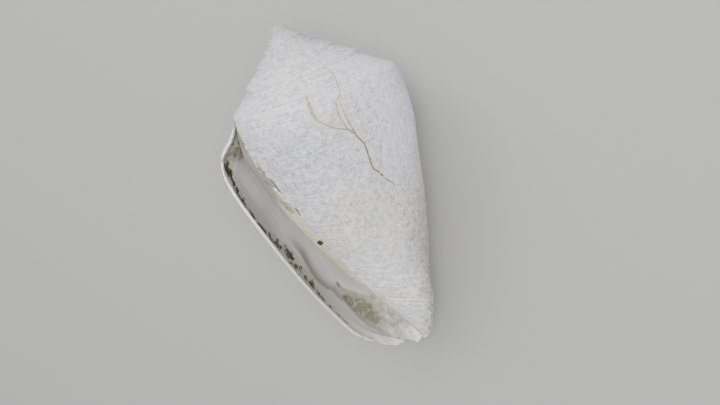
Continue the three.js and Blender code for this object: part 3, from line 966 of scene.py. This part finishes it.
# %% [markdown]
# ## The finishes
# Four finishes cover the shell. The outside is bleached chalk with a cool and a warm tone, and its
# flank and front carry painted light and shade. The inner lip is the same chalk up to an uneven
# edge, and beyond it a thin yellowish layer, edged by a painted shade line and turning grey with
# painted shade further in. The wall of the opening is smoother and greyer, with stains, glaze, a
# worn patch, painted shade in the crease by the glaze and painted light deep inside. The lip and
# the broken end show the bare white edge of the wall. Colours are layered from the ground up, each
# with a mask and a strength, as a restorer would tone a cast.

# %% Layering colours
def new_finish(name):
    material = bpy.data.materials.new(name)
    material.use_nodes = True
    mesh.materials.append(material)
    return material.node_tree, material.node_tree.nodes["Principled BSDF"]


def coats(tree, ground, *layers):
    """Lays coats on a ground. Each layer is a mask, a paint and a strength."""
    for mask, paint, strength in layers:
        ground = blend(tree, calc(tree, "MULTIPLY", mask, strength), ground, paint)
    return ground


def close_finish(tree, shader, color, height, roughness):
    """Joins the last colour and the bump, whose height is in millimetres, to the shader."""
    bump = add_node(tree, "Bump", {"Strength": 1.0, "Distance": MM, "Height": height})
    tree.links.new(color, shader.inputs["Base Color"])
    tree.links.new(bump["Normal"], shader.inputs["Normal"])
    shader.inputs["Roughness"].default_value = roughness


CHALK = {"Cool": (0.55, 0.555, 0.655), "Warm": (0.61, 0.597, 0.54),
         "Grain": 0.55, "Pits": 0.14}
SPIRE_LINES = (30.0, 20.0)
FOOT_LINES = (55.0, 85.0)
SPIRE_SHARE = 0.4
LINE_DEPTH = 0.24
LINE_DEEPENS_BY = 0.4


def chalk_ground(tree, **changes):
    """Chalk whose growth lines are deeper on the spire and toward the open end."""
    ends = calc(tree, "MULTIPLY_ADD", by_height(tree, SPIRE_LINES), SPIRE_SHARE,
                by_height(tree, FOOT_LINES))
    depth = calc(tree, "MULTIPLY_ADD", ends, LINE_DEEPENS_BY, LINE_DEPTH)
    values = {**CHALK, "Line Depth": depth, **changes}
    return add_node(tree, "Group", values, node_tree=chalky)


# %% Outside
OCHRE = (0.40, 0.37, 0.25)
TIP_GREY = (0.30, 0.29, 0.28)
CRACK_DARK = (0.10, 0.097, 0.07)
CRACK_STRAW = (0.55, 0.53, 0.39)
ABOVE_SUTURE = (19.6, 18.4)
TIP_WORN = (13.0, 4.0)
CRACK_DARKENS = (26.0, 33.0)
CRACK_STRENGTH = 0.52
CRACK_GAINS = 0.35

tree, shader = new_finish("outside")
ground = chalk_ground(tree)
spiral_height = add_node(tree, "SeparateXYZ", {0: add_node(tree, "UVMap", uv_map="growth")[0]})[1]
suture = both(tree, fade(tree, spiral_height, *ABOVE_SUTURE),
              patchy(tree, 3.0, 3.0, 14.0, 0.3, 0.8))
tip_wear = both(tree, by_height(tree, TIP_WORN), cloudy(tree, 1.3, 4.0, 18.0))
crack_strength = calc(tree, "MULTIPLY_ADD", by_height(tree, CRACK_DARKENS), CRACK_GAINS,
                      CRACK_STRENGTH)
color = coats(
    tree, ground["Color"],
    (suture, OCHRE, 0.5),
    (tip_wear, TIP_GREY, 0.8),
    (edge_mask(tree, "ochre", 1.3, 0.4, 0.9, 1.0), OCHRE, 0.45),
    (edge_mask(tree, "crack", 6.5, 1.5, 4.0, 1.6, 5.0), CRACK_STRAW, 0.8),
    (edge_mask(tree, "crack", 1.7, 0.6, 1.8, 0.9), CRACK_DARK, crack_strength),
    (edge_mask(tree, "dot", 1.3, 0.6, 0.5, 0.5), CRACK_DARK, 0.6),
)
close_finish(tree, shader, color, ground["Height"], 0.85)

# %% Inner lip
GREY_OCHRE = (0.25, 0.238, 0.18)
CREAM_BAND = (0.47, 0.42, 0.25)
BAND_SHADE_GREY = (0.25, 0.242, 0.228)
CREAM_WHITE = (0.78, 0.74, 0.60)
OLIVE = (0.15, 0.145, 0.10)
BLACK_OLIVE = (0.018, 0.017, 0.009)
CREAM_STARTS = (39.0, 46.0)

tree, shader = new_finish("inner lip")
ground = chalk_ground(tree)
inside = edge_mask(tree, "past_inner_lip", -0.1, 0.25, 0.5, 1.2)
lower = by_height(tree, CREAM_STARTS)
cream_band = coats(tree, CREAM_BAND, (cloudy(tree, 2.6, 4.0, 20.0), CREAM_WHITE, 0.5))
flecks = both(tree, patchy(tree, 1.6, 3.0, 6.0, 0.45, 0.9),
              edge_mask(tree, "past_inner_lip", 2.2, 0.4, 1.0, 1.5))
# Further into the opening the band turns grey: the tone of the opening's wall with its shade
# painted in.
shade_above = edge_mask(tree, "past_inner_lip", 2.0, 4.6, 1.6, 3.0)
shade_below = edge_mask(tree, "past_inner_lip", 5.5, 8.5, 2.0, 3.0)
band = coats(
    tree, blend(tree, lower, GREY_OCHRE, cream_band),
    (flecks, CREAM_WHITE, 0.5),
    (blend(tree, lower, shade_above, shade_below), BAND_SHADE_GREY, 1.0),
)
# A thin olive line on the inner lip is painted shade where the body turns away into the opening.
line_gap = calc(tree, "ABSOLUTE", stored(tree, "past_inner_lip"))
inner_lip_shade_line = both(tree, fade(tree, line_gap, 0.4, 0.1), cloudy(tree, 2.0, 3.0, 21.0))
cream = both(tree, edge_mask(tree, "cream", 1.6, 0.8, 1.2, 0.9),
             patchy(tree, 1.0, 3.0, 16.0, 0.3, 0.55))
color = coats(
    tree, blend(tree, inside, ground["Color"], band),
    (inner_lip_shade_line, OLIVE, 0.6),
    (cream, CREAM_WHITE, 0.95),
    (edge_mask(tree, "smudge", 1.4, 0.4, 1.8, 1.1), OLIVE, 0.75),
    (edge_mask(tree, "dark_line", 1.5, 0.7, 1.0, 0.9), BLACK_OLIVE, 0.85),
    (edge_mask(tree, "speck", 1.4, 1.0, 0.5, 0.9), BLACK_OLIVE, 1.0),
)
close_finish(tree, shader, color, ground["Height"], 0.7)

# %% Colours of the wall
LILAC_GREY = (0.68, 0.64, 0.625)
LILAC_DEEP = (0.46, 0.42, 0.41)
PALE_TOP = (0.86, 0.85, 0.81)
CREASE_SHADE_GREY = (0.16, 0.14, 0.122)
GLAZE = (0.38, 0.36, 0.325)
BARE_WHITE = (0.82, 0.81, 0.78)
VEIL_GREEN = (0.30, 0.305, 0.225)
VEIL_PALE = (0.46, 0.46, 0.41)
PATCH_GREY = (0.30, 0.295, 0.24)
PATCH_FLECK = (0.58, 0.53, 0.43)
PATCH_DARK = (0.10, 0.085, 0.052)
STAIN_OLIVE = (0.12, 0.118, 0.06)
FOOT_PALE = (0.62, 0.605, 0.60)
FOOT_WHITE = (0.70, 0.71, 0.74)
RIM_GREY = (0.22, 0.205, 0.165)
RIM_BEIGE = (0.46, 0.435, 0.385)
CORNER_BEIGE = (0.24, 0.213, 0.16)

# %% Where the wall changes
TOWARD_TOP = (50.0, 32.0)
PAINTED_LIGHT_DEEP_INSIDE = (8.0, 20.0)
LOWER_LILAC = (58.0, 78.0)
CREASE_STARTS = (53.0, 64.0)
CREASE_INNER_SIDE = (4.4, 0.6)
CREASE_LIP_SIDE = (-0.8, 0.3)
FOOT_BRIGHTENS = (94.0, 97.0)
FOOT_CRUMBLES = (96.0, 99.5)
CORNER = (31.0, 27.5)
STAIN_BLACKENS = (56.0, 40.0)
STAIN_THICKENS = (36.0, 32.0)
STAIN_CLUMPS = (0.55, 0.69)

# %% Wall of the opening
tree, shader = new_finish("wall of the opening")
streaks = add_node(tree, "Group", {"Spiral Spacing": 3.0, "Lines Per Turn": 90.0, "Run": 26.0},
                   node_tree=growth_lines)["Along"]
past_glaze = stored(tree, "past_glaze")
# A dark streak along the edge of the glaze is painted shade, where shade falls in the crease there.
crease_shade = both(tree, fade(tree, past_glaze, *CREASE_INNER_SIDE),
              fade(tree, past_glaze, *CREASE_LIP_SIDE))
crease_shade = both(tree, crease_shade, by_height(tree, CREASE_STARTS))
shelf = both(tree, edge_mask(tree, "past_glaze", 0.3, -0.3, 0.8, 1.5),
             by_height(tree, GLAZE_STARTS))
color = coats(
    tree, blend(tree, cloudy(tree, 11.0, 2.0, 7.0), LILAC_GREY, LILAC_DEEP),
    (by_height(tree, TOWARD_TOP), PALE_TOP, 0.8),
    # Deeper into the opening the wall is painted paler: painted light where shade falls inside.
    (fade(tree, stored(tree, "past_lip"), *PAINTED_LIGHT_DEEP_INSIDE), PALE_TOP, 0.8),
    (streaks, LILAC_DEEP, 0.5),
    (by_height(tree, LOWER_LILAC), LILAC_DEEP, 0.6),
    (crease_shade, CREASE_SHADE_GREY, 0.8),
    (shelf, GLAZE, 1.0),
    (both(tree, shelf, streaks), LILAC_DEEP, 0.8),
    (edge_mask(tree, "past_lip", 0.7, 0.2, 0.5, 1.5), BARE_WHITE, 0.6),
)

# %% Patch and foot of the wall
flaked = blend(tree, patchy(tree, 1.3, 4.0, 15.0, 0.3, 0.75), VEIL_GREEN, VEIL_PALE)
brown = calc(tree, "MULTIPLY_ADD", cloudy(tree, 1.2, 4.0, 8.0), 0.6, 0.4)
crumbly = coats(tree, blend(tree, brown, PATCH_GREY, PATCH_DARK),
                (patchy(tree, 0.8, 2.0, 19.0, 0.6, 0.9), PATCH_FLECK, 0.5))
foot = both(tree, by_height(tree, FOOT_BRIGHTENS), cloudy(tree, 2.4, 3.0, 9.0))
lumpy = both(tree, by_height(tree, FOOT_CRUMBLES), patchy(tree, 1.8, 3.0, 17.0, 0.1, 0.6))
color = coats(
    tree, color,
    (edge_mask(tree, "veil", 1.3, 0.8, 0.8, 1.6), flaked, 1.0),
    (edge_mask(tree, "patch", 1.1, 0.95, 0.35, 1.2), PATCH_GREY, 1.0),
    (edge_mask(tree, "patch_brown", 1.9, 0.6, 1.4, 1.6), crumbly, 1.0),
    (foot, FOOT_PALE, 0.7),
    (lumpy, FOOT_WHITE, 0.85),
)

# %% Corner and stain of the wall
corner = by_height(tree, CORNER)
spots = both(tree, corner, patchy(tree, 1.5, 3.0, 12.0, 0.42, 0.7))
black = calc(tree, "ADD", by_height(tree, STAIN_BLACKENS),
             patchy(tree, 1.1, 3.0, 23.0, 0.4, 0.6))
clumps = add_node(tree, "Group", {"Spiral Spacing": 2.2, "Run": 38.0}, node_tree=growth_lines)
clump = calc(tree, "MULTIPLY_ADD", by_height(tree, STAIN_THICKENS), 0.2, clumps["Spiral"])
clump = calc(tree, "MULTIPLY_ADD", cloudy(tree, 0.8, 2.0, 22.0), 0.3, clump)
stain = both(tree, edge_mask(tree, "stain", 1.3, 0.8, 2.0, 1.2),
             fade(tree, clump, *STAIN_CLUMPS))
color = coats(
    tree, color,
    (corner, CORNER_BEIGE, 0.9),
    (spots, BLACK_OLIVE, 0.6),
    (edge_mask(tree, "stain", 2.2, 0.9, 1.6, 1.2), OCHRE, 0.45),
    (stain, blend(tree, black, STAIN_OLIVE, BLACK_OLIVE), 0.95),
    (edge_mask(tree, "deep_dot", 1.3, 0.6, 0.5, 0.5), OLIVE, 0.6),
)
grain = calc(tree, "MULTIPLY", cloudy(tree, 1.6, 3.0, 10.0), 0.05)
close_finish(tree, shader, color, grain, 0.5)

# %% Lip edge and broken end
RIM_PALES = (28.0, 38.0)

tree, shader = new_finish("bare edge")
ground = chalk_ground(tree, Cool=BARE_WHITE, Warm=(0.70, 0.68, 0.63), Grain=0.25)
rim_tone = blend(tree, by_height(tree, RIM_PALES), RIM_GREY, RIM_BEIGE)
shade = edge_mask(tree, "rim_shade", 1.2, 0.8, 1.0, 1.4)
color = coats(tree, ground["Color"], (shade, rim_tone, 1.0))
close_finish(tree, shader, color, ground["Height"], 0.85)

# %% Which finish goes where
FINISH_OF = {"side": 0, "spire": 0, "tip": 0, "pillar": 1, "wall": 2, "ceiling": 2,
             "deep_end": 2, "lip": 3, "break": 3}
INNER_LIP_FROM = 0.85

finish_by_kind = np.array([FINISH_OF[kind] for kind in KINDS])
face_kind = kept("kind").astype(int)
finish = finish_by_kind[face_kind]
first_corner = np.array([polygon.vertices[0] for polygon in mesh.polygons])
beyond = point_turn[first_corner] > INNER_LIP_FROM
finish[beyond & (face_kind == KINDS.index("side"))] = FINISH_OF["pillar"]
mesh.polygons.foreach_set("material_index", finish)
print("faces by finish", np.bincount(finish).tolist())

# %% [markdown]
# ## Floor, light and camera
# The floor is a plain pale sheet. A bright even sky and large soft lamps light the shell with
# hardly a shadow, as a light tent would. The camera stands above the opening, where a person would
# look down at a specimen on a tray.

# %% Floor and light
FLOOR_SIZE = 3.0
PAPER_GREY = (0.30, 0.298, 0.29)
SKY_WHITE = (0.97, 0.98, 1.0)
SKY_STRENGTH = 0.86

floor_mesh = bpy.data.meshes.new("floor")
half = FLOOR_SIZE / 2.0
floor_mesh.from_pydata([(-half, -half, 0), (half, -half, 0), (half, half, 0), (-half, half, 0)],
                       [], [(0, 1, 2, 3)])
floor = bpy.data.objects.new("floor", floor_mesh)
bpy.context.collection.objects.link(floor)
paper = bpy.data.materials.new("pale paper")
paper.use_nodes = True
paper_shader = paper.node_tree.nodes["Principled BSDF"]
paper_shader.inputs["Base Color"].default_value = opaque(PAPER_GREY)
paper_shader.inputs["Roughness"].default_value = 0.9
floor_mesh.materials.append(paper)

world = bpy.data.worlds.new("pale room")
world.use_nodes = True
sky = world.node_tree.nodes["Background"].inputs
sky["Color"].default_value = opaque(SKY_WHITE)
sky["Strength"].default_value = SKY_STRENGTH
bpy.context.scene.world = world


def add_lamp(name, place, size, power, tint):
    light = bpy.data.lights.new(name, "AREA")
    light.size = size
    light.energy = power
    light.color = tint
    lamp = bpy.data.objects.new(name, light)
    lamp.location = place
    aim = -Vector(place)
    lamp.rotation_euler = aim.to_track_quat("-Z", "Y").to_euler()
    bpy.context.collection.objects.link(lamp)
    return lamp


add_lamp("window", (-0.15, 0.5, 0.55), 0.5, 4.2, (1.0, 0.99, 0.97))
add_lamp("over the camera", (0.22, 0.06, 0.6), 0.4, 5.0, (1.0, 1.0, 1.0))

# %% Camera
CAMERA_PLACE = Vector((14.34, -189.11, -0.70))
CAMERA_TARGET = Vector((-1.06, -1.03, 53.36))
CAMERA_UP = Vector((-0.424, 0.218, -0.879))
LENS = 35.0

look = (CAMERA_TARGET - CAMERA_PLACE).normalized()
right = look.cross(CAMERA_UP).normalized()
up = right.cross(look)
upright = Matrix((right, up, -look)).transposed().to_4x4()
upright.translation = CAMERA_PLACE
camera = bpy.data.objects.new("camera", bpy.data.cameras.new("camera"))
camera.data.lens = LENS
camera.data.clip_start = 0.01
placed_camera = Matrix.Translation(Vector(shift)) @ laid @ upright
placed_camera.translation *= MM
camera.matrix_world = placed_camera
bpy.context.collection.objects.link(camera)
bpy.context.scene.camera = camera
print("camera height in mm", round(placed_camera.translation.z / MM, 1))
